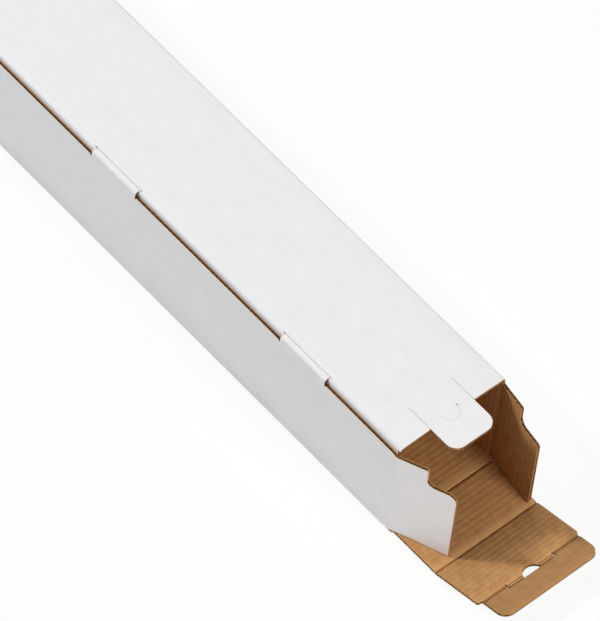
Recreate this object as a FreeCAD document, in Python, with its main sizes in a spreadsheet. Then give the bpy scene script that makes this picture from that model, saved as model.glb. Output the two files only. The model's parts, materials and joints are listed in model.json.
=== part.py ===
import FreeCAD, Part
import math
import os
import Sketcher

# A square mailing tube, folded from one sheet of corrugated board and closed by its own tabs.
# X runs out of the open end, Y across from the left wall to the right wall, Z up from the ground.
# The origin is on the underside, midway across, at the crease line of the open end.
# The tube itself is one solid. The open end's flaps are solids of their own, because they turn.
# Each body is drawn in its own frame and then put in place: the tube's starts at the left wall's
# outer face, and a flap's lies on its crease.

doc = FreeCAD.newDocument("square_mailing_tube")

# ---------------------------------------------------------------- driving dimensions, millimetres

DRIVING_SIZES = [
    ("board", 3.0, "thickness of the corrugated board"),
    ("layer_gap", 0.3, "air between two boards that lie on each other"),
    ("hinge_gap", 0.2, "air between a panel's end and the round crease of the flap on it"),
    ("inner_length", 705.0, "clear length between the closed ends"),
    ("inner_width", 108.0, "clear width between the inner flap and the right wall"),
    ("inner_height", 108.0, "clear height between the floor and the lid"),
    ("fold_outside", 3.0, "outer radius of a long fold"),
    ("fold_inside", 0.8, "inner radius of a long fold"),
    ("inner_flap_depth", 50.0, "depth of the lid's inner flap below the top"),
    ("inner_flap_setback", 2.5, "distance from an end to the inner flap's end"),
    ("locking_tabs", 3, "number of locking tabs"),
    ("tab_length", 55.0, "length of a locking tab along the tube"),
    ("tab_spacing", 237.0, "distance between neighbouring locking tabs"),
    ("tab_reach", 15.0, "reach of a locking tab under the lid"),
    ("tab_corner", 5.0, "corner radius of a locking tab"),
    ("tab_slack", 2.5, "spare length of a tab's slit at each end"),
    ("slit_lift", 1.0, "height that a tab's slit cuts into the lid's fold"),
    ("tab_notch", 2.5, "depth of the relief notch beside a tab"),
    ("tongue_length", 54.5, "length of the lid's tongue from its crease"),
    ("tongue_width", 47.0, "width of the lid's tongue"),
    ("tongue_setback", 25.0, "distance from the lid's edge back to the tongue's crease"),
    ("tongue_corner", 11.0, "corner radius of the tongue"),
    ("slit_width", 0.3, "width of a knife slit"),
    ("thumb_cut_radius", 9.3, "radius of the half-round thumb cut in the tongue"),
    ("thumb_cut_place", 20.5, "distance from the tongue's crease to the thumb cut's centre"),
    ("dust_length", 55.0, "length of a dust flap from its crease"),
    ("dust_bottom_gap", 1.0, "air under a dust flap"),
    ("dust_top_gap", 4.0, "air between a dust flap and the lid"),
    ("notch_start", 28.0, "distance from a dust flap's crease to its notch"),
    ("notch_depth", 20.0, "depth of the notch in a dust flap"),
    ("notch_radius", 8.0, "inner radius of the notch in a dust flap"),
    ("notch_shoulder", 2.0, "outer radius where the notch leaves the top edge"),
    ("left_corner", 8.0, "free corner radius of the left dust flap"),
    ("right_corner", 3.0, "free corner radius of the right dust flap"),
    ("end_flap_inset", 3.0, "distance from a wall's outer face to the end flap's edge"),
    ("lower_panel", 54.2, "length of the end flap's lower panel between its creases"),
    ("tuck_length", 26.0, "length of the tuck flap"),
    ("tuck_left_inset", 4.5, "distance from the end flap's left edge to the tuck flap's"),
    ("tuck_right_inset", 2.0, "distance from the end flap's right edge to the tuck flap's"),
    ("tuck_corner", 10.0, "corner radius of the tuck flap"),
    ("slot_width", 50.0, "width of the slot that takes the tongue"),
    ("thumb_hole_radius", 9.0, "radius of the thumb hole at the slot"),
    ("thumb_hole_offset", 2.0, "distance from the slot to the thumb hole's centre"),
    ("left_turn", 22.0, "inward turn of the left dust flap, degrees"),
    ("right_turn", 8.0, "inward turn of the right dust flap, degrees"),
    ("upper_rise", 15.0, "rise of the end flap's upper panel, degrees"),
]

sizes = doc.addObject("Spreadsheet::Sheet", "Sizes")
for row, (alias, value, meaning) in enumerate(DRIVING_SIZES, start=1):
    sizes.set(f"A{row}", meaning)
    sizes.set(f"B{row}", str(value))
    sizes.setAlias(f"B{row}", alias)
doc.recompute()


def value_of(expression):
    """The number that an expression in the sheet's values gives."""
    result = sizes.evalExpression(str(expression))
    return float(getattr(result, "Value", result))


# ------------------------------------------------------- places that follow from the driving sizes

board = "Sizes.board"
half_board = "Sizes.board / 2"
hinge_stop = "(Sizes.board / 2 + Sizes.hinge_gap)"

lid_under = "(Sizes.board + Sizes.inner_height)"
lid_top = "(2 * Sizes.board + Sizes.inner_height)"
side_top = "(Sizes.inner_height - Sizes.layer_gap)"
tuck_top = "(Sizes.board + Sizes.inner_height - Sizes.layer_gap)"

inner_flap_outer = "(Sizes.board + Sizes.layer_gap)"
inner_flap_inner = "(2 * Sizes.board + Sizes.layer_gap)"
right_inner = "(2 * Sizes.board + Sizes.layer_gap + Sizes.inner_width)"
right_outer = "(3 * Sizes.board + Sizes.layer_gap + Sizes.inner_width)"
middle = f"({right_outer} / 2)"
inner_flap_bottom = f"({lid_top} - Sizes.inner_flap_depth)"

far_crease = "(Sizes.inner_length + Sizes.board)"
end_crease = "(Sizes.board + Sizes.layer_gap)"
first_tab = f"(({far_crease} - (Sizes.locking_tabs - 1) * Sizes.tab_spacing) / 2)"

dust_bottom = "(Sizes.board + Sizes.dust_bottom_gap)"
dust_top = f"({lid_under} - Sizes.dust_top_gap)"
notch_bottom = f"({dust_top} - Sizes.notch_depth)"

end_flap_width = f"({right_outer} - 2 * Sizes.end_flap_inset)"
tuck_left = f"({end_flap_width} / 2 - Sizes.tuck_left_inset)"
tuck_right = f"({end_flap_width} / 2 - Sizes.tuck_right_inset)"
upper_panel = f"({tuck_top} - Sizes.board - Sizes.lower_panel)"

# ------------------------------------------------------------------------------- drawing helpers


def new_body(name):
    """An empty body, whose Label is the sub-part's name."""
    body = doc.addObject("PartDesign::Body", name)
    body.Label = name
    return body


def plane_of(body, role):
    """One of a body's own origin planes or axes."""
    return next(item for item in body.Origin.OriginFeatures if item.Role == role)


def new_sketch(body, name, role, offset="0"):
    """A sketch on an origin plane of its body, moved along the plane's normal by an expression."""
    sketch = body.newObject("Sketcher::SketchObject", name)
    sketch.AttachmentSupport = [(plane_of(body, role), "")]
    sketch.MapMode = "FlatFace"
    sketch.setExpression("AttachmentOffset.Base.z", offset)
    doc.recompute()
    return sketch


def bind(sketch, kind, geometry, point, expression):
    """Ties one coordinate or radius of the sketch's geometry to an expression."""
    value = value_of(expression)
    if kind == "Radius":
        index = sketch.addConstraint(Sketcher.Constraint("Radius", geometry, value))
    else:
        index = sketch.addConstraint(Sketcher.Constraint(kind, -1, 1, geometry, point, value))
    sketch.setExpression(f"Constraints[{index}]", expression)


def rounded_outline(sketch, corners):
    """A closed outline from its corners (across, up, radius). Without a radius a corner is square.

    Each straight side is placed by both its ends, and an arc rounds each corner that has a radius.
    """
    count = len(corners)
    places = [(value_of(u), value_of(v)) for u, v, _ in corners]
    nodes = []
    for i, (u, v, radius) in enumerate(corners):
        if radius is None:
            nodes.append([(u, v, places[i])])
            continue
        size = value_of(radius)
        pair = []
        for other in (i - 1, (i + 1) % count):
            du = places[other][0] - places[i][0]
            dv = places[other][1] - places[i][1]
            su = 0 if abs(du) < 1e-9 else math.copysign(1, du)
            sv = 0 if abs(dv) < 1e-9 else math.copysign(1, dv)
            pair.append((
                f"({u}) + ({su:g}) * ({radius})",
                f"({v}) + ({sv:g}) * ({radius})",
                (places[i][0] + su * size, places[i][1] + sv * size),
            ))
        nodes.append(pair)
    lines = []
    for i in range(count):
        start = nodes[i][-1]
        end = nodes[(i + 1) % count][0]
        segment = Part.LineSegment(FreeCAD.Vector(*start[2], 0), FreeCAD.Vector(*end[2], 0))
        line = sketch.addGeometry(segment, False)
        for point, node in ((1, start), (2, end)):
            if point == 2 or len(nodes[i]) == 2:
                bind(sketch, "DistanceX", line, point, node[0])
                bind(sketch, "DistanceY", line, point, node[1])
        lines.append(line)
    for i in range(count):
        before = lines[i - 1]
        after = lines[i]
        if len(nodes[i]) == 1:
            sketch.addConstraint(Sketcher.Constraint("Coincident", before, 2, after, 1))
            continue
        first = nodes[i][0][2]
        last = nodes[i][1][2]
        centre = (first[0] + last[0] - places[i][0], first[1] + last[1] - places[i][1])
        angles = [math.atan2(p[1] - centre[1], p[0] - centre[0]) for p in (first, last)]
        turn = (angles[1] - angles[0]) % (2 * math.pi)
        ends = (1, 2)
        if turn > math.pi:
            angles.reverse()
            ends = (2, 1)
        radius = math.dist(first, centre)
        circle = Part.Circle(FreeCAD.Vector(*centre, 0), FreeCAD.Vector(0, 0, 1), radius)
        arc = sketch.addGeometry(Part.ArcOfCircle(circle, angles[0], angles[1]), False)
        sketch.addConstraint(Sketcher.Constraint("Coincident", arc, ends[0], before, 2))
        sketch.addConstraint(Sketcher.Constraint("Coincident", arc, ends[1], after, 1))
        bind(sketch, "Radius", arc, None, corners[i][2])


def rectangle(sketch, left, right, low, high):
    """A plain rectangle between two limits across and two limits up."""
    rounded_outline(sketch, [
        (left, low, None),
        (right, low, None),
        (right, high, None),
        (left, high, None),
    ])


def round_disc(sketch, across, up, radius):
    """A full circle."""
    centre = FreeCAD.Vector(value_of(across), value_of(up), 0)
    circle = Part.Circle(centre, FreeCAD.Vector(0, 0, 1), value_of(radius))
    geometry = sketch.addGeometry(circle, False)
    bind(sketch, "DistanceX", geometry, 3, across)
    bind(sketch, "DistanceY", geometry, 3, up)
    bind(sketch, "Radius", geometry, None, radius)


def pad(body, sketch, length, reverse=False, both_ways=False):
    """Adds board where the sketch is."""
    feature = body.newObject("PartDesign::Pad", sketch.Name + "_pad")
    feature.Profile = sketch
    feature.setExpression("Length", length)
    feature.Reversed = reverse
    feature.Midplane = both_ways
    sketch.Visibility = False
    doc.recompute()
    return feature


def pocket(body, sketch, length, reverse=False, both_ways=False):
    """Cuts board away where the sketch is, and makes sure that it cut something."""
    before = body.Shape.Volume
    feature = body.newObject("PartDesign::Pocket", sketch.Name + "_cut")
    feature.Profile = sketch
    feature.setExpression("Length", length)
    feature.Reversed = reverse
    feature.Midplane = both_ways
    sketch.Visibility = False
    doc.recompute()
    if not body.Shape.Volume < before:
        raise RuntimeError(f"{feature.Name} cuts nothing")
    return feature


def cut_block(body, name, across, along, top, depth):
    """Cuts a block: its two X limits, its two Y limits, its top and its depth."""
    sketch = new_sketch(body, name, "XY_Plane", top)
    rectangle(sketch, *across, *along)
    return pocket(body, sketch, depth)


def round_crease(body, name, low, high, along="0"):
    """The round roll of board at a crease, parallel to the body's Y axis between two limits."""
    sketch = new_sketch(body, name, "XZ_Plane", f"-({low})")
    round_disc(sketch, along, "0", half_board)
    return pad(body, sketch, f"({high}) - ({low})", reverse=True)


def half_ring(sketch, across, inner, outer):
    """A half ring about a point on the sketch's horizontal axis, bulging to the right."""
    centre = FreeCAD.Vector(value_of(across), 0, 0)
    up = FreeCAD.Vector(0, 0, 1)
    sides = []
    for sign in (-1, 1):
        ends = [(f"{sign} * ({radius})", sign * value_of(radius)) for radius in (inner, outer)]
        points = [centre + FreeCAD.Vector(0, height, 0) for _, height in ends]
        side = sketch.addGeometry(Part.LineSegment(*points), False)
        for point, (height, _) in enumerate(ends, start=1):
            bind(sketch, "DistanceX", side, point, across)
            bind(sketch, "DistanceY", side, point, height)
        sides.append(side)
    for point, radius in enumerate((inner, outer), start=1):
        circle = Part.Circle(centre, up, value_of(radius))
        arc = sketch.addGeometry(Part.ArcOfCircle(circle, -math.pi / 2, math.pi / 2), False)
        sketch.addConstraint(Sketcher.Constraint("Coincident", arc, 1, sides[0], point))
        sketch.addConstraint(Sketcher.Constraint("Coincident", arc, 2, sides[1], point))
        bind(sketch, "DistanceX", arc, 3, across)


def dust_outline(sketch, place, corner):
    """The outline of a dust flap. place turns a distance from its crease into a place across."""
    rounded_outline(sketch, [
        (place("0"), dust_bottom, None),
        (place("Sizes.dust_length"), dust_bottom, None),
        (place("Sizes.dust_length"), notch_bottom, corner),
        (place("Sizes.notch_start"), notch_bottom, "Sizes.notch_radius"),
        (place("Sizes.notch_start"), dust_top, "Sizes.notch_shoulder"),
        (place("0"), dust_top, None),
    ])


def centred(width, extra="0"):
    """The two Y limits of something centred on the tube, with room beside it."""
    return (
        f"({middle} - ({width}) / 2 - ({extra}))",
        f"({middle} + ({width}) / 2 + ({extra}))",
    )


Z_AXIS = FreeCAD.Vector(0, 0, 1)
UPWARD = FreeCAD.Vector(0, -1, 0)  # turning about this axis lifts what lies along X


def place_body(body, x, y, z, axis, angle):
    """Puts a body's own origin at a place and turns it about an axis there."""
    body.Placement = FreeCAD.Placement(FreeCAD.Vector(), FreeCAD.Rotation(axis, value_of(angle)))
    for name, expression in zip("xyz", (x, y, z)):
        body.setExpression(f"Placement.Base.{name}", expression)
    body.setExpression("Placement.Rotation.Angle", angle)
    doc.recompute()


# ------------------------------------------------------------------------------------- the tube

PAST = "1"  # how far a cut or a joint of board reaches past the face it meets

outside = "Sizes.fold_outside"
inside = "Sizes.fold_inside"
between_walls = f"({board} + Sizes.layer_gap / 2)"

tube = new_body("tube")

# The sheet goes from the left wall's free edge under the floor, up the right wall, over the lid
# and down as the inner flap, which hides behind the left wall.
sleeve = new_sketch(tube, "sleeve", "YZ_Plane")
rounded_outline(sleeve, [
    ("0", side_top, None),
    ("0", "0", outside),
    (right_outer, "0", outside),
    (right_outer, lid_top, outside),
    (inner_flap_outer, lid_top, outside),
    (inner_flap_outer, inner_flap_bottom, None),
    (inner_flap_inner, inner_flap_bottom, None),
    (inner_flap_inner, lid_under, inside),
    (right_inner, lid_under, inside),
    (right_inner, board, inside),
    (board, board, inside),
    (board, side_top, None),
])
pad(tube, sleeve, far_crease, reverse=True)

# The floor reaches out to the end flap's crease.
floor_lip = new_sketch(tube, "floor_lip", "YZ_Plane", f"-({PAST})")
rectangle(floor_lip, *centred(end_flap_width), "0", board)
pad(tube, floor_lip, f"{end_crease} - {hinge_stop} + {PAST}")

# The walls stop short of the dust flaps' creases.
trim_bottom = f"({dust_bottom} - Sizes.hinge_gap)"
cut_block(
    tube, "left_wall_trim",
    (f"-{hinge_stop}", PAST),
    (f"-{PAST}", between_walls),
    f"({side_top} + {PAST})",
    f"{side_top} + {PAST} - {trim_bottom}",
)
cut_block(
    tube, "right_wall_trim",
    (f"-{hinge_stop}", PAST),
    (f"({right_inner} - Sizes.layer_gap / 2)", f"({right_outer} + {PAST})"),
    f"({dust_top} + Sizes.hinge_gap)",
    f"{dust_top} + Sizes.hinge_gap - {trim_bottom}",
)

# The inner flap is set back at both ends, to clear the dust flaps when they are folded in.
inner_flap_strip = (between_walls, f"({inner_flap_inner} + {inside})")
for end, limits in (
    ("open", ("-Sizes.inner_flap_setback", PAST)),
    ("closed", (f"(-{far_crease} - {PAST})", f"(-{far_crease} + Sizes.inner_flap_setback)")),
):
    cut_block(
        tube, f"inner_flap_{end}_end",
        limits,
        inner_flap_strip,
        lid_under,
        "Sizes.inner_flap_depth",
    )

# The lid's front edge is open where its tongue lies.
cut_block(
    tube, "tongue_opening",
    (f"(-Sizes.tongue_setback - {hinge_stop})", PAST),
    centred("Sizes.tongue_width", "Sizes.slit_width"),
    f"({lid_top} + {PAST})",
    f"{board} + 2 * {PAST}",
)

# One locking tab: a slit through the lid's fold, two relief notches in the wall's edge, and the
# tab itself, which folds over from the wall's edge and lies under the lid.
tab_near = f"(-{first_tab} + Sizes.tab_length / 2)"
tab_far = f"(-{first_tab} - Sizes.tab_length / 2)"
slit = cut_block(
    tube, "tab_slit",
    (f"({tab_far} - Sizes.tab_slack)", f"({tab_near} + Sizes.tab_slack)"),
    inner_flap_strip,
    f"({lid_under} + Sizes.slit_lift)",
    f"{lid_under} + Sizes.slit_lift - {side_top} + Sizes.layer_gap",
)
notches = []
for end, limits in (
    ("near", (tab_near, f"({tab_near} + Sizes.tab_notch)")),
    ("far", (f"({tab_far} - Sizes.tab_notch)", tab_far)),
):
    notches.append(cut_block(
        tube, f"tab_{end}_notch",
        limits,
        (f"-{PAST}", between_walls),
        f"({side_top} + {PAST})",
        f"Sizes.tab_notch + {PAST}",
    ))
tab_outline = new_sketch(tube, "locking_tab", "XY_Plane", side_top)
rounded_outline(tab_outline, [
    (tab_far, "0", None),
    (tab_near, "0", None),
    (tab_near, f"({board} + Sizes.tab_reach)", "Sizes.tab_corner"),
    (tab_far, f"({board} + Sizes.tab_reach)", "Sizes.tab_corner"),
])
tab = pad(tube, tab_outline, board)

tabs = tube.newObject("PartDesign::LinearPattern", "locking_tabs")
tabs.Originals = [slit, *notches, tab]
tabs.Direction = (plane_of(tube, "X_Axis"), [""])
tabs.Reversed = True
tabs.setExpression("Length", "(Sizes.locking_tabs - 1) * Sizes.tab_spacing")
tabs.setExpression("Occurrences", "Sizes.locking_tabs")
tube.Tip = tabs
doc.recompute()


def edges_on_line(shape, across, up):
    """The names of a shape's straight edges that run along X at one place across and up."""
    names = []
    for number, edge in enumerate(shape.Edges, start=1):
        ends = [vertex.Point for vertex in edge.Vertexes]
        on_line = all(abs(p.y - across) < 1e-6 and abs(p.z - up) < 1e-6 for p in ends)
        if len(ends) == 2 and on_line:
            names.append(f"Edge{number}")
    return names


tab_folds = tube.newObject("PartDesign::Fillet", "tab_folds")
tab_folds.Base = (tabs, edges_on_line(tube.Shape, 0, value_of(tuck_top)))
tab_folds.setExpression("Radius", f"{board} - Sizes.layer_gap")
doc.recompute()

# ------------------------------------------------------------------------- the tube's closed end


def beyond(distance):
    """An X place at a distance beyond the closed end's crease line."""
    return f"(-{far_crease} - ({distance}))"


end_flap_out = f"({end_crease} + {half_board})"
end_flap_in = f"({end_crease} - {half_board})"

# Both dust flaps are folded in, each about the round crease at its wall's end.
for side, crease_line, inward in (
    ("left", half_board, "1"),
    ("right", f"({right_outer} - {half_board})", "-1"),
):
    roll = new_sketch(tube, f"closed_{side}_crease", "XY_Plane", dust_bottom)
    round_disc(roll, beyond("0"), crease_line, half_board)
    pad(tube, roll, f"{dust_top} - {dust_bottom}")
    closed_dust = new_sketch(tube, f"closed_{side}_dust_flap", "YZ_Plane", beyond("0"))
    dust_outline(
        closed_dust,
        lambda distance: f"({crease_line} + {inward} * ({distance}))",
        f"Sizes.{side}_corner",
    )
    pad(tube, closed_dust, board, both_ways=True)

# The end flap stands on the floor's crease and rolls over into the tuck flap.
closed_flap = new_sketch(tube, "closed_end_flap", "XZ_Plane", f"-{middle}")
rounded_outline(closed_flap, [
    (beyond(f"-{PAST}"), "0", None),
    (beyond(end_flap_out), "0", outside),
    (beyond(end_flap_out), tuck_top, outside),
    (beyond(f"{end_flap_in} - 2 * {inside}"), tuck_top, None),
    (beyond(f"{end_flap_in} - 2 * {inside}"), side_top, None),
    (beyond(end_flap_in), side_top, inside),
    (beyond(end_flap_in), board, inside),
    (beyond(f"-{PAST}"), board, None),
])
pad(tube, closed_flap, end_flap_width, both_ways=True)

closed_tuck = new_sketch(tube, "closed_tuck_flap", "XY_Plane", side_top)
tuck_low, tuck_high = f"({middle} - {tuck_left})", f"({middle} + {tuck_right})"
rounded_outline(closed_tuck, [
    (beyond(f"{end_flap_in} - {inside}"), tuck_low, None),
    (beyond(f"{end_crease} - Sizes.tuck_length"), tuck_low, "Sizes.tuck_corner"),
    (beyond(f"{end_crease} - Sizes.tuck_length"), tuck_high, "Sizes.tuck_corner"),
    (beyond(f"{end_flap_in} - {inside}"), tuck_high, None),
])
pad(tube, closed_tuck, board)

# The slot opens in the tuck flap beside the fold, and the thumb hole under the slot.
cut_block(
    tube, "closed_slot",
    (beyond(end_flap_in), beyond(f"-({half_board} + Sizes.layer_gap)")),
    centred("Sizes.slot_width"),
    f"({tuck_top} + {PAST})",
    f"{board} + 2 * {PAST}",
)
thumb_hole = new_sketch(tube, "closed_thumb_hole", "YZ_Plane", beyond(end_flap_in))
round_disc(
    thumb_hole, middle, f"({tuck_top} + Sizes.thumb_hole_offset)", "Sizes.thumb_hole_radius"
)
pocket(tube, thumb_hole, f"{board} + {PAST}")

# The lid's tongue is slit free of the lid at both sides, bends over the lid's edge and drops
# through the slot into the notch of the dust flaps.
closed_tongue = new_sketch(tube, "closed_tongue", "XZ_Plane", f"-{middle}")
rounded_outline(closed_tongue, [
    (beyond("-(Sizes.tongue_setback / 2)"), lid_top, None),
    (beyond(half_board), lid_top, "(Sizes.board / 2)"),
    (beyond(half_board), f"({notch_bottom} + Sizes.layer_gap)", None),
    (beyond(f"-{half_board}"), f"({notch_bottom} + Sizes.layer_gap)", None),
    (beyond(f"-{half_board}"), lid_under, inside),
    (beyond("-(Sizes.tongue_setback / 2)"), lid_under, None),
])
pad(tube, closed_tongue, "Sizes.tongue_width", both_ways=True)
tongue_low, tongue_high = centred("Sizes.tongue_width")
for side, limits in (
    ("left", (f"({tongue_low} - Sizes.slit_width)", tongue_low)),
    ("right", (tongue_high, f"({tongue_high} + Sizes.slit_width)")),
):
    cut_block(
        tube, f"closed_tongue_{side}_slit",
        (beyond(PAST), beyond("-Sizes.tongue_setback")),
        limits,
        f"({lid_top} + {PAST})",
        f"{board} + 2 * {PAST}",
    )

place_body(tube, "0", f"-{middle}", "0", Z_AXIS, "0")

# ------------------------------------------------------------------------ flaps of the open end


def panel(body, name, corners):
    """A flat panel of board about the body's own XY plane, from its outline."""
    sketch = new_sketch(body, name, "XY_Plane")
    rounded_outline(sketch, corners)
    return pad(body, sketch, board, both_ways=True)


def dust_flap(side, crease_line, turn, corner):
    """A dust flap, which turns about the upright crease at its wall's end."""
    flap = new_body(f"{side}_dust_flap")
    crease = new_sketch(flap, f"{side}_dust_crease", "XY_Plane", dust_bottom)
    round_disc(crease, "0", "0", half_board)
    pad(flap, crease, f"{dust_top} - {dust_bottom}")
    outline = new_sketch(flap, f"{side}_dust_panel", "XZ_Plane")
    dust_outline(outline, lambda distance: distance, corner)
    pad(flap, outline, board, both_ways=True)
    place_body(flap, "0", crease_line, "0", Z_AXIS, turn)


wall_crease = f"({middle} - {half_board})"
dust_flap("left", f"-{wall_crease}", "Sizes.left_turn", "Sizes.left_corner")
dust_flap("right", wall_crease, "-Sizes.right_turn", "Sizes.right_corner")

# The lid's tongue lies in the lid's plane, with the half-round thumb cut near the lid's edge.
half_tongue = "(Sizes.tongue_width / 2)"
tongue = new_body("lid_tongue")
round_crease(tongue, "tongue_crease", f"-{half_tongue}", half_tongue)
panel(tongue, "tongue_panel", [
    ("0", f"-{half_tongue}", None),
    ("Sizes.tongue_length", f"-{half_tongue}", "Sizes.tongue_corner"),
    ("Sizes.tongue_length", half_tongue, "Sizes.tongue_corner"),
    ("0", half_tongue, None),
])
thumb_cut = new_sketch(tongue, "thumb_cut", "XY_Plane")
half_ring(
    thumb_cut,
    "Sizes.thumb_cut_place",
    "Sizes.thumb_cut_radius",
    "(Sizes.thumb_cut_radius + Sizes.slit_width)",
)
pocket(tongue, thumb_cut, f"{board} + {PAST}", both_ways=True)
place_body(tongue, "-Sizes.tongue_setback", "0", f"{lid_top} - {half_board}", UPWARD, "0")

# The end flap's lower panel lies on the ground in line with the floor.
half_flap = f"({end_flap_width} / 2)"
lower = new_body("end_flap_lower")
round_crease(lower, "lower_crease", f"-{half_flap}", half_flap)
lower_end = f"(Sizes.lower_panel - {hinge_stop})"
panel(lower, "lower_panel", [
    ("0", f"-{half_flap}", None),
    (lower_end, f"-{half_flap}", None),
    (lower_end, half_flap, None),
    ("0", half_flap, None),
])
place_body(lower, end_crease, "0", half_board, UPWARD, "0")

# The upper panel rises from the lower one. Between the two halves of the tuck flap's crease it
# ends in the round lip of the slot, and the thumb hole bites into it there.
half_slot = "(Sizes.slot_width / 2)"
upper = new_body("end_flap_upper")
round_crease(upper, "upper_crease", f"-{half_flap}", half_flap)
upper_end = f"({upper_panel} - {hinge_stop})"
panel(upper, "upper_panel", [
    ("0", f"-{half_flap}", None),
    (upper_end, f"-{half_flap}", None),
    (upper_end, f"-{half_slot}", None),
    (upper_panel, f"-{half_slot}", None),
    (upper_panel, half_slot, None),
    (upper_end, half_slot, None),
    (upper_end, half_flap, None),
    ("0", half_flap, None),
])
round_crease(upper, "slot_lip", f"-{half_slot}", half_slot, along=upper_panel)
thumb_hole = new_sketch(upper, "thumb_hole", "XY_Plane")
round_disc(
    thumb_hole,
    f"({upper_panel} + {half_board} + Sizes.thumb_hole_offset)",
    "0",
    "Sizes.thumb_hole_radius",
)
pocket(upper, thumb_hole, f"{board} + {PAST}", both_ways=True)
upper_place = f"({end_crease} + Sizes.lower_panel)"
place_body(upper, upper_place, "0", half_board, UPWARD, "Sizes.upper_rise")

# The tuck flap turns about its crease on both sides of the slot. Its left edge is set in further
# than its right one, because it goes in beside the inner flap there.
slot_side = "(Sizes.slot_width / 2 + Sizes.slit_width)"
tuck = new_body("tuck_flap")
round_crease(tuck, "left_tuck_crease", f"-{tuck_left}", f"-{slot_side}")
round_crease(tuck, "right_tuck_crease", slot_side, tuck_right)
panel(tuck, "tuck_panel", [
    ("0", f"-{tuck_left}", None),
    ("Sizes.tuck_length", f"-{tuck_left}", "Sizes.tuck_corner"),
    ("Sizes.tuck_length", tuck_right, "Sizes.tuck_corner"),
    ("0", tuck_right, None),
    ("0", slot_side, None),
    (hinge_stop, slot_side, None),
    (hinge_stop, f"-{slot_side}", None),
    ("0", f"-{slot_side}", None),
])
place_body(
    tuck,
    f"{upper_place} + {upper_panel} * cos(Sizes.upper_rise * 1 deg)",
    "0",
    f"{half_board} + {upper_panel} * sin(Sizes.upper_rise * 1 deg)",
    UPWARD,
    "Sizes.upper_rise",
)

# -------------------------------------------------------------------------- checks and STEP files

doc.recompute()
failed = [item.Name for item in doc.Objects if {"Invalid", "Error"} & set(item.State)]
if failed:
    raise RuntimeError("these features failed: " + ", ".join(failed))

bodies = [item for item in doc.Objects if item.TypeId == "PartDesign::Body"]
for body in bodies:
    if body.Shape.isNull() or not body.Shape.isValid() or len(body.Shape.Solids) != 1:
        raise RuntimeError(f"{body.Label} isn't one valid solid")

os.makedirs("parts", exist_ok=True)
for body in bodies:
    body.Shape.exportStep(f"parts/{body.Label}.step")
    print(f"{body.Label}: {body.Shape.Volume:.0f} cubic mm")
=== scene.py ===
import bisect
import json
import math

import bpy
import numpy as np
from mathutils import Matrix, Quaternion, Vector


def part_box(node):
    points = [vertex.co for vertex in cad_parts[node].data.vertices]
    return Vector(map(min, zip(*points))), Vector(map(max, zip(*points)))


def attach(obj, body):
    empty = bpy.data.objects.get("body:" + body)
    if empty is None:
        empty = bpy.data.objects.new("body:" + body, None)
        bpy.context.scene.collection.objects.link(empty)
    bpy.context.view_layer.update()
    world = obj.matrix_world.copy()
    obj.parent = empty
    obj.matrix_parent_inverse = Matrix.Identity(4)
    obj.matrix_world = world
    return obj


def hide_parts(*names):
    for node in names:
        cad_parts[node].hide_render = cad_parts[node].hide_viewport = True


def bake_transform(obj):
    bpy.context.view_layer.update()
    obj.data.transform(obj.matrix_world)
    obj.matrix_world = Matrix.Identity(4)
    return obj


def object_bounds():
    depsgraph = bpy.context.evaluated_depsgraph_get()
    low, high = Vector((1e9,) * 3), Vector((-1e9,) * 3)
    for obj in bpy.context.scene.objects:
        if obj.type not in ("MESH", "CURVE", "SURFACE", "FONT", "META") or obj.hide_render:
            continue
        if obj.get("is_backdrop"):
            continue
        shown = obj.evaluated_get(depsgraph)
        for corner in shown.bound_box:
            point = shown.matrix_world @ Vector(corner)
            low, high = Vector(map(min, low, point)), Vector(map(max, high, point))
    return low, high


# A square mailing tube of corrugated board. Each panel is built as the board is: a white liner
# outside, a fluted layer and a brown liner inside, cut from one flat sheet and folded up.
# Sizes are in millimetres until a mesh is made. On the sheet, x runs along the tube and across
# the flutes, s runs around the tube, and h goes through the board: below zero is the white side,
# above it the brown.

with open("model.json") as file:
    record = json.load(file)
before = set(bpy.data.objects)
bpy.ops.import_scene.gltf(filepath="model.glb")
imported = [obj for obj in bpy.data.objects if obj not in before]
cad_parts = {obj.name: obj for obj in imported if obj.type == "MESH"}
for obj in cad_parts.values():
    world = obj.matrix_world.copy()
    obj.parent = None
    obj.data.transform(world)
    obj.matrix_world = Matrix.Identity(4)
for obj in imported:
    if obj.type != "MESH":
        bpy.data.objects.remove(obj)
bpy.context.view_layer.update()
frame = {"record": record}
MM = 0.001

# ------------------------------------------------------------------ places that the frame gives

crease_at = {
    joint["name"]: [value / MM for value in joint["pos_m"]]
    for joint in frame["record"]["behaviour"]["joints"]
}
travel = {joint["name"]: joint["range_deg"] for joint in frame["record"]["behaviour"]["joints"]}
tube_low, tube_high = (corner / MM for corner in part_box("tube"))

BOARD = round((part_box("end_flap_lower")[1].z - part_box("end_flap_lower")[0].z) / MM, 3)
HALF = BOARD / 2
TOP = tube_high.z
OUTER = tube_high.y
WALL = crease_at["right_dust_crease"][1]  # the walls' middle plane
FLOOR = crease_at["end_flap_crease"][2]
LID = crease_at["tongue_crease"][2]
CREASE_1 = crease_at["end_flap_crease"][0]
CREASE_2 = crease_at["upper_panel_crease"][0]
TONGUE_CREASE = crease_at["tongue_crease"][0]
FAR = tube_low.x + CREASE_1 + HALF  # the crease line of the closed end
LEFT_TURN = 90 - travel["left_dust_crease"][1]
RIGHT_TURN = 90 - travel["right_dust_crease"][1]
RISE = -travel["upper_panel_crease"][0]
TUCK_RISE = -travel["tuck_crease"][0]
UPPER_PANEL = math.dist(crease_at["upper_panel_crease"], crease_at["tuck_crease"])
CREASE_3 = CREASE_2 + UPPER_PANEL  # as it lies on the flat sheet

# ------------------------------------------------------------------- sizes repeated from the part

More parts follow.
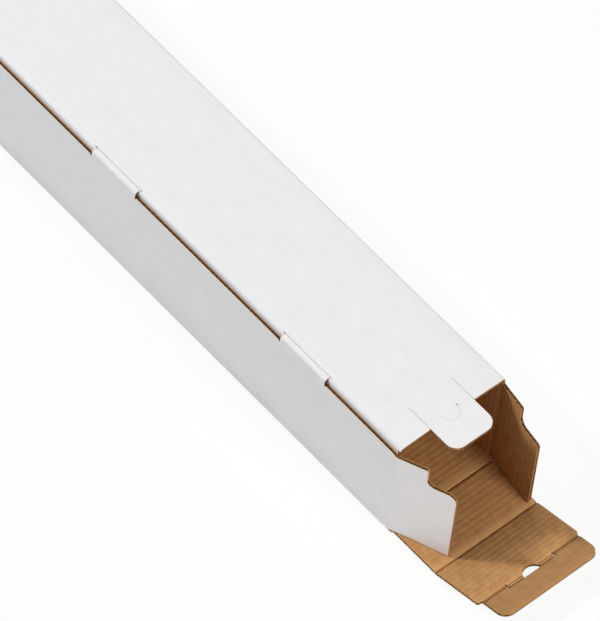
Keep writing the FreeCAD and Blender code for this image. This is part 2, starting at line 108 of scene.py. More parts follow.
LAYER_GAP = 0.3
WALL_TOP = TOP - 2 * BOARD - LAYER_GAP  # raw edge of the left wall
INNER_FLAP = -WALL + BOARD + LAYER_GAP  # the inner flap's middle plane
INNER_FLAP_BOTTOM = TOP - 50
INNER_FLAP_SETBACK = 2.5
TAB_LENGTH, TAB_SPACING, TAB_REACH, TAB_CORNER = 55, 237, 15, 5
TAB_SLACK = 2.5
TONGUE_WIDTH, TONGUE_LENGTH, TONGUE_CORNER = 47, 54.5, 11
THUMB_CUT_PLACE, THUMB_CUT_RADIUS = 20.5, 9.3
DUST_LENGTH, DUST_BOTTOM, DUST_TOP = 55, BOARD + 1, TOP - BOARD - 4
NOTCH_START, NOTCH_DEPTH, NOTCH_RADIUS, NOTCH_SHOULDER = 28, 20, 8, 2
LEFT_CORNER, RIGHT_CORNER = 8, 3  # of the dust flaps
FLAP_HALF_WIDTH = OUTER - 3
TUCK_LEFT, TUCK_RIGHT = FLAP_HALF_WIDTH - 4.5, FLAP_HALF_WIDTH - 2
TUCK_LENGTH, TUCK_CORNER = 26, 10
SLOT_HALF_WIDTH = 25
THUMB_HOLE_RADIUS = 9

# --------------------------------------- sizes that the part lacks, or has about a millimetre off

TAB_NOTCH = 1.4
END_FLAP_CORNER = 2.5
SLOT_OFFSET = 2.6  # the slot lies this far beyond the crease
SLIT_WIDTH = 1.0
SLOT_BEVEL = 0.6  # where the slot's cut turns
THUMB_HOLE_PLACE = SLOT_OFFSET + 1
PANEL_GAP = 0.2  # between panels that are cut from each other
CORNER_REACH = 4.5  # the bottom folds run on this far, under the dust flaps
DUST_HEEL_START, DUST_HEEL_END = 4, 10  # between them a dust flap's lower edge rises
THUMB_DASHES, THUMB_DASH_ANGLE, THUMB_CUT_WIDTH = 14, 6, 0.3
THUMB_CUT_START, THUMB_CUT_END = -86, 80
THUMB_DOT, THUMB_DOT_SHIFT = 0.6, 0.4

# ------------------------------------------------------------------------------ the board itself

FLUTE_PITCH = 5.4
LINER = 0.3
FLUTE_SHEET = 0.12  # half the fluted layer's thickness
FLUTE_HEIGHT = HALF - LINER - FLUTE_SHEET
WASHBOARD = 0.17  # how far the brown liner sinks between the flutes' tips
FOLD_RADIUS = 1.9  # of the board's middle at a long fold
BEND = 2.0  # half the length of board that bends at a crease
SEAM = BEND + 0.4  # from a crease to where the panel beside it begins
PRESS_SLOPE = 2  # the flutes go flat over this length
SCORE_DEPTH, SCORE_REACH = 1.2, 0.5  # the groove of a crease
DENT_DEPTH, DENT_BEFORE, DENT_AFTER = 0.9, 4, 1.3  # the slopes beside it
CRUSH_DEPTH, CRUSH_REACH = 1.5, 1.1  # of a free end

# ------------------------------------------------------------------------- how finely it is cut

FLAT_STEP = 2 * FLUTE_PITCH  # along the white liner
WAVE_STEP = FLUTE_PITCH / 8
BEND_STEPS = 5  # around a long fold
CREASE_CUTS = 13  # across the board that bends at a crease
PANEL_STEP, LID_STEP = 36, 16  # around the tube. The lid bows, so it is cut finer
LEAST_STEP = 0.05  # no cut is made closer than this to a corner
TOLERANCE = 1e-4  # an edge narrower than this runs straight around the tube
DIGITS = 4  # of a place on the sheet
SHARP_ANGLE = 40
PROBE = 0.01  # how far add_piece steps to see whether a shape is mirrored


def cells(loops, across, along):
    """Cuts a flat outline with holes into cells at the x places across and the s places along.

    Returns the points and the faces. Neighbouring faces share all their points.
    """
    edges = []
    for loop in loops:
        for start, end in zip(loop, loop[1:] + loop[:1]):
            if abs(start[0] - end[0]) > TOLERANCE:
                edges.append((*min(start, end), *max(start, end)))
    corners = sorted({round(x, DIGITS) for loop in loops for x, _ in loop})
    lines = list(corners)
    for x in across:
        near = bisect.bisect(corners, x)
        beside = corners[max(near - 1, 0):near + 1]
        if corners[0] < x < corners[-1] and all(abs(x - c) > LEAST_STEP for c in beside):
            lines.append(round(x, DIGITS))
    lines.sort()

    def height(edge, x):
        x0, s0, x1, s1 = edge
        share = min(max((x - x0) / (x1 - x0), 0), 1)
        return round(s0 + (s1 - s0) * share, DIGITS)

    on_line = [set() for _ in lines]
    strips = []
    for i, (left, right) in enumerate(zip(lines, lines[1:])):
        middle = (left + right) / 2
        crossing = [edge for edge in edges if edge[0] < middle < edge[2]]
        crossing.sort(key=lambda edge: height(edge, middle))
        for low, high in zip(crossing[::2], crossing[1::2]):
            lows = (height(low, left), height(low, right))
            highs = (height(high, left), height(high, right))
            rows = [lows]
            floor, ceiling = max(lows) + LEAST_STEP, min(highs) - LEAST_STEP
            rows += [(s, s) for s in along if floor < s < ceiling]
            rows.append(highs)
            for below, above in zip(rows, rows[1:]):
                strips.append((i, below, above))
                on_line[i].update((below[0], above[0]))
                on_line[i + 1].update((below[1], above[1]))
    ordered = [sorted(places) for places in on_line]
    points = []
    number = {}
    for i, places in enumerate(ordered):
        for s in places:
            number[i, s] = len(points)
            points.append((lines[i], s))

    def between(i, low, high):
        places = ordered[i]
        chosen = places[bisect.bisect_left(places, low):bisect.bisect_right(places, high)]
        return [number[i, s] for s in chosen]

    faces = []
    for i, below, above in strips:
        left = between(i, below[0], above[0])
        right = between(i + 1, below[1], above[1])
        face = left[:1] + right + left[:0:-1]
        if len(face) > 2:
            faces.append(face)
    return np.array(points, float), faces


def sheet(loops, across, along, low, high):
    """A closed sheet between two heights, given as functions of x, from a flat outline."""
    flat, faces = cells(loops, across, along)
    count = len(flat)
    points = np.empty((2 * count, 3))
    for block, level in ((slice(0, count), low), (slice(count, None), high)):
        points[block, :2] = flat
        points[block, 2] = level(flat[:, 0])
    ways = {(a, b) for face in faces for a, b in zip(face, face[1:] + face[:1])}
    rim = [(a, b) for a, b in sorted(ways) if (b, a) not in ways]
    solid = [[corner + count for corner in face] for face in faces]
    solid += [face[::-1] for face in faces]
    solid += [[a, b, b + count, a + count] for a, b in rim]
    return points, solid


def steps(low, high, size):
    """Even places from low to high, about one size apart."""
    return list(np.linspace(low, high, max(2, int(round((high - low) / size)) + 1)))


def arc(x, s, radius, start, end, count=8):
    """Points on a round corner, its angles in degrees."""
    return [
        (x + radius * math.cos(math.radians(a)), s + radius * math.sin(math.radians(a)))
        for a in np.linspace(start, end, count + 1)
    ]


def flute(x):
    """The middle of the fluted layer."""
    return FLUTE_HEIGHT * np.sin(2 * np.pi * x / FLUTE_PITCH)


def washboard(x):
    """How far the brown liner sags between the flutes' tips."""
    return WASHBOARD * np.abs(np.sin(np.pi * (x / FLUTE_PITCH - 0.25)))


def pressed_flat(x, zones):
    """How far the flutes are pressed flat, from 0 to 1. Each zone is given by its two x places."""
    share = 0 * x
    for start, end in zones:
        inside = ease((x - start) / PRESS_SLOPE) * ease((end - x) / PRESS_SLOPE)
        share = np.maximum(share, inside)
    return share


def plain_top(x):
    """The height of the board's brown side where nothing presses it."""
    return HALF + 0 * x


def scored(*creases, end=None):
    """The height of the board's brown side, pressed down along creases at these x places.

    The board slopes gently to a crease and rises steeply after it. At a free end, where the
    board was cut along a flute, it is crushed.
    """
    def top(x):
        pressed = 0 * x
        for crease in creases:
            pressed += SCORE_DEPTH * np.exp(-((x - crease) / SCORE_REACH) ** 2)
            reach = np.where(x < crease, DENT_BEFORE, DENT_AFTER)
            pressed += DENT_DEPTH * np.exp(-np.abs(x - crease) / reach)
        if end is not None:
            pressed += CRUSH_DEPTH * np.exp(-np.abs(x - end) / CRUSH_REACH)
        return HALF - pressed
    return top


def layers(loops, along, folds=(), top=plain_top, smooth=()):
    """The three layers of board of one outline, each a sheet with its material's number.

    The brown liner is pressed flat in the smooth zones, each given by its two x places.
    """
    low = min(x for loop in loops for x, _ in loop)
    high = max(x for loop in loops for x, _ in loop)
    phase = math.floor(low / FLUTE_PITCH) * FLUTE_PITCH
    close = [x for fold in folds for x in fold + np.linspace(-BEND, BEND, CREASE_CUTS)]

    def places(size):
        far_from_folds = [
            x for x in np.arange(phase, high, size)
            if all(abs(x - fold) > BEND + 2 * LEAST_STEP for fold in folds)
        ]
        return far_from_folds + close

    def share(x):
        return (top(x) + HALF) / BOARD

    def fluted(side):
        return lambda x: (flute(x) + side * FLUTE_SHEET + HALF) * share(x) - HALF

    def brown_face(x):
        return top(x) - washboard(x) * (1 - pressed_flat(x, smooth))

    def brown_back(x):
        return brown_face(x) - LINER

    def white_face(x):
        return 0 * x - HALF

    def white_back(x):
        return 0 * x - HALF + LINER

    return [
        (sheet(loops, places(FLAT_STEP), along, white_face, white_back), 0),
        (sheet(loops, places(WAVE_STEP), along, fluted(-1), fluted(1)), 1),
        (sheet(loops, places(WAVE_STEP), along, brown_back, brown_face), 2),
    ]


def add_piece(name, parts, shape, materials, smooth=()):
    """One mesh from sheets of board. shape turns sheet points into places, in millimetres."""
    flat = np.concatenate([points for (points, _), _ in parts])
    places = shape(flat)
    around = flat.mean(axis=0) + PROBE * np.array([(0, 0, 0), (1, 0, 0), (0, 1, 0), (0, 0, 1)])
    probed = shape(around)
    mirrored = np.linalg.det(probed[1:] - probed[0]) < 0
    faces = []
    slots = []
    first = 0
    for (points, solid), material in parts:
        for face in solid:
            turned = [corner + first for corner in face]
            faces.append(turned[::-1] if mirrored else turned)
        slots += [material] * len(solid)
        first += len(points)
    mesh = bpy.data.meshes.new(name)
    mesh.from_pydata((places * MM).tolist(), [], faces)
    for material in materials:
        mesh.materials.append(material)
    mesh.polygons.foreach_set("material_index", slots)
    mesh.polygons.foreach_set("use_smooth", [True] * len(faces))
    attribute = mesh.attributes.new("sheet", "FLOAT_VECTOR", "POINT")
    attribute.data.foreach_set("vector", (flat * MM).ravel())
    # the share pressed flat, which the kraft's painted highlight and painted shade follow
    attribute = mesh.attributes.new("pressed", "FLOAT", "POINT")
    attribute.data.foreach_set("value", pressed_flat(flat[:, 0], smooth))
    mesh.update()
    mesh.set_sharp_from_angle(angle=math.radians(SHARP_ANGLE))
    piece = bpy.data.objects.new(name, mesh)
    bpy.context.scene.collection.objects.link(piece)
    return piece


# --------------------------------------------------------------------------------- the folded tube


def rounded_track(corners, radius):
    """A path over corners, each of them a quarter turn to the left, in the (Y, Z) plane.

    Returns where each of its pieces starts along the path, and the path as a function.
    """
    points = [np.array(corner, float) for corner in corners]
    starts, places, headings, turning = [], [], [], []
    travelled = 0
    for i, (here, there) in enumerate(zip(points, points[1:])):
        heading = (there - here) / np.linalg.norm(there - here)
        begin = here + heading * (radius if i else 0)
        finish = there - heading * (radius if i < len(points) - 2 else 0)
        starts.append(travelled)
        places.append(begin)
        headings.append(heading)
        turning.append(0)
        travelled += np.linalg.norm(finish - begin)
        if i < len(points) - 2:
            starts.append(travelled)
            places.append(finish)
            headings.append(heading)
            turning.append(1)
            travelled += radius * math.pi / 2
    starts, places = np.array(starts), np.array(places)
    headings, turning = np.array(headings), np.array(turning)

    def at(s, h):
        piece = np.clip(np.searchsorted(starts, s, side="right") - 1, 0, len(starts) - 1)
        run = s - starts[piece]
        ahead = headings[piece]
        inward = np.stack([-ahead[:, 1], ahead[:, 0]], 1)
        angle = np.where(turning[piece] > 0, run / radius, 0)[:, None]
        straight = places[piece] + ahead * run[:, None] + inward * h[:, None]
        spin = -inward * np.cos(angle) + ahead * np.sin(angle)
        curved = places[piece] + inward * radius + spin * (radius - h)[:, None]
        return np.where(turning[piece][:, None] > 0, curved, straight)

    return starts, at


TAB_DROP = 0.4
TAB_PLANE = TOP - TAB_DROP - HALF  # the tabs bridge the gap to the lid, nearly level with it
TAB_DIP, TAB_BRIDGE, TAB_SLOPE = 3.1, 1.1, 1.9  # from the slit on, each slopes down under it
sleeve_starts, sleeve_track = rounded_track([
    (-OUTER + BOARD + TAB_REACH, TAB_PLANE),
    (-WALL, TAB_PLANE),
    (-WALL, FLOOR),
    (WALL, FLOOR),
    (WALL, LID),
    (INNER_FLAP, LID),
    (INNER_FLAP, INNER_FLAP_BOTTOM),
], FOLD_RADIUS)
_, tab_fold, left_wall, _, floor_panel, _, right_wall, _, lid, lid_fold, inner_flap = sleeve_starts

# These give the s place on the sheet of a height or a y place on each panel.


def on_left(z):
    return left_wall + TAB_PLANE - FOLD_RADIUS - z


def on_floor(y):
    return floor_panel + WALL - FOLD_RADIUS + y


def on_right(z):
    return right_wall - FLOOR - FOLD_RADIUS + z


def on_lid(y):
    return lid + WALL - FOLD_RADIUS - y


def on_inner_flap(z):
    return inner_flap + LID - FOLD_RADIUS - z


def ease(t):
    """A smooth step from 0 to 1."""
    t = np.clip(t, 0, 1)
    return t * t * (3 - 2 * t)


LOOSE_REACH = 90  # the board's give fades over about this length from the mouth
LID_BOW, BOW_FROM, BOW_OVER = 1.5, 90, 20
WALL_LEAN, LEAN_FROM, LEAN_OVER = 0.9, 40, 15


def relaxed(places):
    """The board's own give: the lid bows up and the left wall leans out a little at the mouth."""
    x, y, z = places.T
    loose = np.exp(-np.abs(np.minimum(x, 0)) / LOOSE_REACH)
    arch = np.clip(1 - (y / OUTER) ** 2, 0, 1)
    bow = LID_BOW * arch * loose * ease((z - BOW_FROM) / BOW_OVER)
    lean = WALL_LEAN * ease(z / TOP) * loose * ease((-y - LEAN_FROM) / LEAN_OVER)
    return np.stack([x, y - lean, z + bow], 1)


def sleeve_shape(points):
    x, s, h = points.T
    across = sleeve_track(s, h)
    across[:, 1] -= TAB_DIP * ease((tab_fold - TAB_BRIDGE - s) / TAB_SLOPE)
    return relaxed(np.column_stack([x, across]))


FOLD_STOP = 0.6  # the lid's fold reaches the mouth up to this far before the inner flap
dust_foot = BOARD + PANEL_GAP
fold_end = inner_flap - FOLD_STOP
opening = TONGUE_WIDTH / 2 + LAYER_GAP
mouth = [
    (-SEAM, on_left(WALL_TOP)),
    (-SEAM, on_left(dust_foot)),
    (CORNER_REACH, on_left(dust_foot)),
    (CORNER_REACH, on_floor(-FLAP_HALF_WIDTH - PANEL_GAP)),
    (CREASE_1 - SEAM, on_floor(-FLAP_HALF_WIDTH - PANEL_GAP)),
    (CREASE_1 - SEAM, on_floor(-FLAP_HALF_WIDTH)),
    (CREASE_1 - SEAM, on_floor(FLAP_HALF_WIDTH)),
    (CREASE_1 - SEAM, on_floor(FLAP_HALF_WIDTH + PANEL_GAP)),
    (CORNER_REACH, on_floor(FLAP_HALF_WIDTH + PANEL_GAP)),
    (CORNER_REACH, on_right(dust_foot)),
    (-SEAM, on_right(dust_foot)),
    (-SEAM, on_right(DUST_TOP + PANEL_GAP)),
    (0, on_right(DUST_TOP + PANEL_GAP)),
    (0, on_lid(opening)),
    (TONGUE_CREASE - SEAM, on_lid(opening)),
    (TONGUE_CREASE - SEAM, on_lid(-opening)),
    (0, on_lid(-opening)),
    (0, fold_end),
    (-INNER_FLAP_SETBACK, fold_end),
    (-INNER_FLAP_SETBACK, on_inner_flap(INNER_FLAP_BOTTOM)),
]
tab_middles = [FAR / 2 + i * TAB_SPACING for i in (-1, 0, 1)]
wall_edge = []
for middle in tab_middles:
    low, high = middle - TAB_LENGTH / 2, middle + TAB_LENGTH / 2
    wall_edge += [
        (low - TAB_NOTCH, on_left(WALL_TOP)),
        (low - TAB_NOTCH, on_left(WALL_TOP - TAB_NOTCH)),
        (low, on_left(WALL_TOP - TAB_NOTCH)),
        *arc(low + TAB_CORNER, TAB_CORNER, TAB_CORNER, 180, 270),
        *arc(high - TAB_CORNER, TAB_CORNER, TAB_CORNER, 270, 360),
        (high, on_left(WALL_TOP - TAB_NOTCH)),
        (high + TAB_NOTCH, on_left(WALL_TOP - TAB_NOTCH)),
        (high + TAB_NOTCH, on_left(WALL_TOP)),
    ]
SLIT_LIFT = 0.5  # of a tab's slit into the lid's fold
slit_high = lid_fold + SLIT_LIFT
slit_low = on_inner_flap(WALL_TOP - LAYER_GAP)
half_slit = [
    (TAB_LENGTH / 2 + TAB_SLACK, slit_high),
    (TAB_LENGTH / 2 + TAB_SLACK, slit_high + LAYER_GAP),
    (TAB_LENGTH / 2 + LAYER_GAP, slit_high + LAYER_GAP),
    (TAB_LENGTH / 2 + LAYER_GAP, slit_low),
]
slits = [
    [(middle + x, s) for x, s in half_slit] + [(middle - x, s) for x, s in reversed(half_slit)]
    for middle in tab_middles
]
sleeve_outline = mouth + [(FAR - x, s) for x, s in reversed(mouth)] + wall_edge
sleeve_levels = []
for i, start in enumerate(sleeve_starts):
    finish = on_inner_flap(INNER_FLAP_BOTTOM)
    if i + 1 < len(sleeve_starts):
        finish = sleeve_starts[i + 1]
    size = LID_STEP if start == lid else PANEL_STEP
    if i % 2:  # every other one is a fold
        size = FOLD_RADIUS * math.pi / 2 / BEND_STEPS
    sleeve_levels += steps(start, finish, size)[:-1]

# ------------------------------------------------------------------------------------- the flaps


def bent(points, creases):
    """Flat points turned at creases, each given by its x place and its angle inwards."""
    x, s, h = points.T
    a, b = x.copy(), h.copy()
    for crease, angle in reversed(creases):
        turn = math.radians(angle) * ease((x - crease + BEND) / (2 * BEND))
        reach = a - crease
        a, b = (
            crease + reach * np.cos(turn) - b * np.sin(turn),
            reach * np.sin(turn) + b * np.cos(turn),
        )
    return a, s, b


def dust_shape(side, angle):
    """A dust flap on the wall at side, -1 for left and 1 for right."""
    def shape(points):
        a, s, b = bent(points, [(0, angle)])
        return relaxed(np.stack([a, side * (WALL - b), s], 1))
    return shape


def end_flap_shape(*creases):
    def shape(points):
        a, s, b = bent(points, creases)
        return np.stack([a, s, FLOOR + b], 1)
    return shape


def tongue_shape(*creases):
    def shape(points):
        a, s, b = bent(points, creases)
        return relaxed(np.stack([a, s, LID - b], 1))
    return shape


def at_far_end(shape):
    """The same panel on the closed end."""
    def mirrored(points):
        places = shape(points)
        places[:, 0] = FAR - places[:, 0]
        return places
    return mirrored


def dust_outline(corner):
    notch = DUST_TOP - NOTCH_DEPTH
    return [
        (-SEAM, BOARD + LAYER_GAP),
        (DUST_HEEL_START, BOARD + LAYER_GAP),
        (DUST_HEEL_END, DUST_BOTTOM),
        (DUST_LENGTH, DUST_BOTTOM),
        *arc(DUST_LENGTH - corner, notch - corner, corner, 0, 90),
        *arc(NOTCH_START + NOTCH_RADIUS, notch + NOTCH_RADIUS, NOTCH_RADIUS, 270, 180),
        *arc(NOTCH_START - NOTCH_SHOULDER, DUST_TOP - NOTCH_SHOULDER, NOTCH_SHOULDER, 0, 90, 4),
        (-SEAM, DUST_TOP),
    ]


def strip(start, end, half_width):
    """A plain panel between two x places."""
    return [(start, -half_width), (end, -half_width), (end, half_width), (start, half_width)]


def slot_corners(offset, half_width):
    """Half of the slot's cut: out from the crease, then along it."""
    return [
        (CREASE_3 - SEAM, half_width),
        (CREASE_3 + offset - SLOT_BEVEL, half_width),
        (CREASE_3 + offset, half_width - SLOT_BEVEL),
    ]


def upper_outline():
    """The upper panel. Between the tuck flap's creases it ends at the slot, in a half moon."""
    moon = CREASE_3 + THUMB_HOLE_PLACE
    sweep = math.degrees(math.acos((THUMB_HOLE_PLACE - SLOT_OFFSET) / THUMB_HOLE_RADIUS))
    end = CREASE_3 - SEAM
    side = FLAP_HALF_WIDTH - END_FLAP_CORNER
    half_slot = slot_corners(SLOT_OFFSET, SLOT_HALF_WIDTH)
    return [
        (CREASE_2 - SEAM, -FLAP_HALF_WIDTH),
        *arc(end - END_FLAP_CORNER, -side, END_FLAP_CORNER, 270, 360, 5),
        *[(x, -s) for x, s in half_slot],
        *arc(moon, 0, THUMB_HOLE_RADIUS, 180 + sweep, 180 - sweep, 20),
        *reversed(half_slot),
        *arc(end - END_FLAP_CORNER, side, END_FLAP_CORNER, 0, 90, 5),
        (CREASE_2 - SEAM, FLAP_HALF_WIDTH),
    ]


def tuck_outline(slot_edge):
    """The tuck flap, cut back to slot_edge between its creases."""
    end = CREASE_3 + TUCK_LENGTH
    half_slot = slot_corners(slot_edge, SLOT_HALF_WIDTH + SLIT_WIDTH)
    return [
        (CREASE_3 - SEAM, -TUCK_LEFT),
        *arc(end - TUCK_CORNER, TUCK_CORNER - TUCK_LEFT, TUCK_CORNER, 270, 360),
        *arc(end - TUCK_CORNER, TUCK_RIGHT - TUCK_CORNER, TUCK_CORNER, 0, 90),
        (CREASE_3 - SEAM, TUCK_RIGHT),
        *half_slot,
        *[(x, -s) for x, s in reversed(half_slot)],
    ]


def tongue_outline():
    end = TONGUE_CREASE + TONGUE_LENGTH
    half = TONGUE_WIDTH / 2
    side = half - TONGUE_CORNER
    return [
        (TONGUE_CREASE - SEAM, -half),
        *arc(end - TONGUE_CORNER, -side, TONGUE_CORNER, 270, 360),
        *arc(end - TONGUE_CORNER, side, TONGUE_CORNER, 0, 90),
        (TONGUE_CREASE - SEAM, half),
    ]


def perforation():
    """The dashes of the half-round thumb cut, as narrow holes, with a small dot at one end."""
    holes = []
    centre = TONGUE_CREASE + THUMB_CUT_PLACE
    near, far = THUMB_CUT_RADIUS - THUMB_CUT_WIDTH / 2, THUMB_CUT_RADIUS + THUMB_CUT_WIDTH / 2
    for angle in np.linspace(THUMB_CUT_START, THUMB_CUT_END, THUMB_DASHES):
        low, high = angle - THUMB_DASH_ANGLE / 2, angle + THUMB_DASH_ANGLE / 2
        holes.append(arc(centre, 0, near, low, high, 2) + arc(centre, 0, far, high, low, 2))
    holes.append(arc(centre - THUMB_DOT_SHIFT, THUMB_CUT_RADIUS, THUMB_DOT, 0, 330, 11))
    return holes


# --------------------------------------------------------------------------------- the materials


def node_adder(owner):
    """Empties the node tree of a material or a world, and returns a function that adds to it."""
    owner.use_nodes = True
    tree = owner.node_tree
    tree.nodes.clear()

    def add(kind, inputs=None, **settings):
        node = tree.nodes.new(kind)
        for key, value in settings.items():
            setattr(node, key, value)
        for key, value in (inputs or {}).items():
            if isinstance(value, bpy.types.NodeSocket):
                tree.links.new(value, node.inputs[key])
            else:
                node.inputs[key].default_value = value
        return node

    return add


def new_material(name):
    material = bpy.data.materials.new(name)
    return material, node_adder(material)


def maths(add, operation, *values):
    return add("ShaderNodeMath", dict(enumerate(values)), operation=operation).outputs[0]


def linear(red, green, blue):
    """A colour given as it looks on screen, from 0 to 255."""
    return [((c / 255 + 0.055) / 1.055) ** 2.4 for c in (red, green, blue)] + [1]


IN_MM = 1000  # the attribute on the mesh is in metres


def on_sheet(add, scale):
    """The place on the flat sheet, scaled along each axis."""
    place = add("ShaderNodeAttribute", attribute_name="sheet").outputs["Vector"]
    return add("ShaderNodeVectorMath", {0: place, 1: scale}, operation="MULTIPLY").outputs[0]


def part_on_sheet(add, axis):
    """One coordinate of the place on the flat sheet, in millimetres."""
    place = on_sheet(add, (IN_MM, IN_MM, IN_MM))
    return add("ShaderNodeSeparateXYZ", {"Vector": place}).outputs[axis]


def spots(add, squeeze, size, detail=4.0, roughness=0.55):
    """Noise whose spots are about size millimetres long, and shorter along a squeezed axis."""
    place = on_sheet(add, [IN_MM / size * value for value in squeeze])
    noise = add("ShaderNodeTexNoise", {
        "Vector": place, "Scale": 1.0, "Detail": detail, "Roughness": roughness,
    })
    return noise.outputs["Fac"]


def ranged(add, value, low, high, to_low=0.0, to_high=1.0):
    node = add("ShaderNodeMapRange", {
        "Value": value, "From Min": low, "From Max": high, "To Min": to_low, "To Max": to_high,
    })
    return node.outputs["Result"]


def mixed(add, factor, first, second, how="MIX"):
    node = add("ShaderNodeMix", data_type="RGBA", blend_type=how)
    tree = node.id_data
    for index, value in ((0, factor), (6, first), (7, second)):
        if isinstance(value, bpy.types.NodeSocket):
            tree.links.new(value, node.inputs[index])
        else:
            node.inputs[index].default_value = value
    return node.outputs[2]


def paper(add, tone, roughness, shine, relief, strength, depth):
    """The shader of a paper, with a relief of the given strength and depth in millimetres."""
    bump = add("ShaderNodeBump", {"Strength": strength, "Distance": depth * MM, "Height": relief})
    shader = add("ShaderNodeBsdfPrincipled", {
        "Base Color": tone, "Roughness": roughness, "Specular IOR Level": shine,
        "Normal": bump.outputs[0],
    })
    add("ShaderNodeOutputMaterial", {"Surface": shader.outputs[0]})


def kraft_material(name, painted_band_tone):
    """Brown kraft paper, with a painted highlight over the flutes' tips and painted shade between
    them, standing in for the washboard's shading. Where the board is pressed flat, its colour is
    mixed toward a given tone: a painted highlight in the bands before the creases, painted shade on
    the tuck flap.
    """
    material, add = new_material(name)
    light, dark = linear(*KRAFT_LIGHT), linear(*KRAFT_DARK)
    cloud = spots(add, (0.7, 1, 1), 7, 4)
    tone = mixed(add, ranged(add, cloud, 0.3, 0.7), dark, light)
    fibre = spots(add, (0.7, 1.3, 1), 1.6, 4, 0.65)
    tone = mixed(add, ranged(add, fibre, 0.42, 0.66, 0.0, 0.6), tone, linear(*KRAFT_FIBRE_AND_HIGHLIGHT))
    fleck = spots(add, (0.7, 1.3, 1), 1.6, 3, 0.6)
    tone = mixed(add, ranged(add, fleck, 0.52, 0.7, 0.0, 0.3), tone, linear(*KRAFT_FLECK_AND_SHADE))
    wave = maths(add, "MULTIPLY", part_on_sheet(add, "X"), 2 * math.pi / FLUTE_PITCH)
    crest = maths(add, "SINE", wave)
    pressed = add("ShaderNodeAttribute", attribute_name="pressed").outputs["Fac"]
    loose = ranged(add, pressed, 0.0, 1.0, 1.0, 0.0)
    # painted highlight over the flutes' tips, standing in for the shading of the washboard ripples
    painted_tip_highlight = maths(add, "MULTIPLY", ranged(add, crest, 0.45, 1.0, 0.0, 0.14), loose)
    tone = mixed(add, painted_tip_highlight, tone, linear(*KRAFT_FIBRE_AND_HIGHLIGHT))
    # painted shade between the flutes' tips, standing in for the shading of the washboard ripples
    painted_valley_shade = maths(add, "MULTIPLY", ranged(add, crest, -1.0, 0.5, 0.06, 0.0), loose)
    tone = mixed(add, painted_valley_shade, tone, linear(*KRAFT_FLECK_AND_SHADE))
    # painted light and shade where the board is pressed: lighter in the bands before the creases,
    # darker on the tuck flap
    tone = mixed(add, ranged(add, pressed, 0.0, 1.0, 0.0, 0.4), tone, linear(*painted_band_tone))
    paper(add, tone, 0.82, 0.25, fibre, 0.35, 0.2)
    return material


COAT_END, CORE_START = 0.05, 0.12  # the depth of the white coat, and where all is brown


def white_material():
    """A white coated liner, brown where its cut edge and its back show."""
    material, add = new_material("white_liner")
    cloud = spots(add, (0.5, 1, 1), 14, 3)
    tone = mixed(add, ranged(add, cloud, 0.3, 0.7), linear(*WHITE_DARK), linear(*WHITE_LIGHT))
    depth = ranged(add, part_on_sheet(add, "Z"), -HALF + COAT_END, -HALF + CORE_START)
    fibre = spots(add, (0.5, 1.3, 1), 1.2, 4)
    core = mixed(add, fibre, linear(*EDGE_DARK), linear(*EDGE_LIGHT))
    tone = mixed(add, depth, tone, core)
    grain = spots(add, (0.7, 1, 1), 0.5, 3)
    paper(add, tone, ranged(add, cloud, 0.3, 0.7, 0.6, 0.7), 0.2, grain, 0.08, 0.1)
    return material


def flute_material():
    """The fluted paper between the liners."""
    material, add = new_material("fluted_paper")
    fibre = spots(add, (0.5, 1.3, 1), 1.0, 4)
    tone = mixed(add, ranged(add, fibre, 0.3, 0.7), linear(*FLUTE_DARK), linear(*FLUTE_LIGHT))
    paper(add, tone, 0.85, 0.2, fibre, 0.3, 0.2)
    return material


KRAFT_LIGHT = (206, 155, 101)
KRAFT_DARK = (179, 127, 77)
# the fibres' colour, also the painted highlight over the flutes' tips and in the bands before the
# creases
KRAFT_FIBRE_AND_HIGHLIGHT = (221, 175, 121)
# the flecks' colour, also the painted shade between the flutes' tips
KRAFT_FLECK_AND_SHADE = (118, 72, 36)
# painted shade: darkens the tuck flap's kraft in place of the shading of its tilt away from the
# light
KRAFT_TUCK_SHADE = (132, 98, 60)
WHITE_LIGHT = (240, 240, 243)
WHITE_DARK = (236, 236, 239)
EDGE_LIGHT = (226, 200, 160)
EDGE_DARK = (190, 155, 112)
FLUTE_LIGHT = (186, 146, 100)
FLUTE_DARK = (140, 100, 62)

BOARD_LAYERS = [
    # the kraft liner's pressed bands get a painted highlight
    white_material(), flute_material(), kraft_material("kraft_liner", KRAFT_FIBRE_AND_HIGHLIGHT),
]
# the tuck flap's kraft gets painted shade
TUCK_LAYERS = [*BOARD_LAYERS[:2], kraft_material("kraft_liner_tuck_painted_shade", KRAFT_TUCK_SHADE)]

# ------------------------------------------------------------------------------------ the pieces


def ride_tube(name, parts, shape):
    piece = add_piece(name, parts, shape, BOARD_LAYERS, PRESSED_BANDS)
    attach(piece, "tube")
    return piece


PAST_CREASE, PAST_TUCK = 1.5, 9
PRESSED_BANDS = [  # before each crease, and all of the tuck flap. The kraft there is painted: a painted highlight before the creases, painted shade on the tuck flap
    (CREASE_1 - 10, CREASE_1 + PAST_CREASE),
    (CREASE_2 - 7, CREASE_2 + PAST_CREASE),
    (CREASE_3 - 5, CREASE_3 + TUCK_LENGTH + PAST_TUCK),
]
END_STEP, TONGUE_STEP = 16, 8  # across the flaps
sleeve_parts = layers(
    [sleeve_outline, *slits], sleeve_levels, (), scored(CREASE_1, FAR - CREASE_1), PRESSED_BANDS,
)
for layer_name, part in zip(("white_liner", "flutes", "kraft_liner"), sleeve_parts):
    piece = ride_tube(f"tube_{layer_name}", [part], sleeve_shape)
    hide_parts("tube")

end_levels = steps(-FLAP_HALF_WIDTH, FLAP_HALF_WIDTH, END_STEP)
dust_levels = steps(DUST_BOTTOM, DUST_TOP, END_STEP)
tongue_levels = steps(-TONGUE_WIDTH / 2, TONGUE_WIDTH / 2, TONGUE_STEP)
tongue_loops = [tongue_outline(), *perforation()]

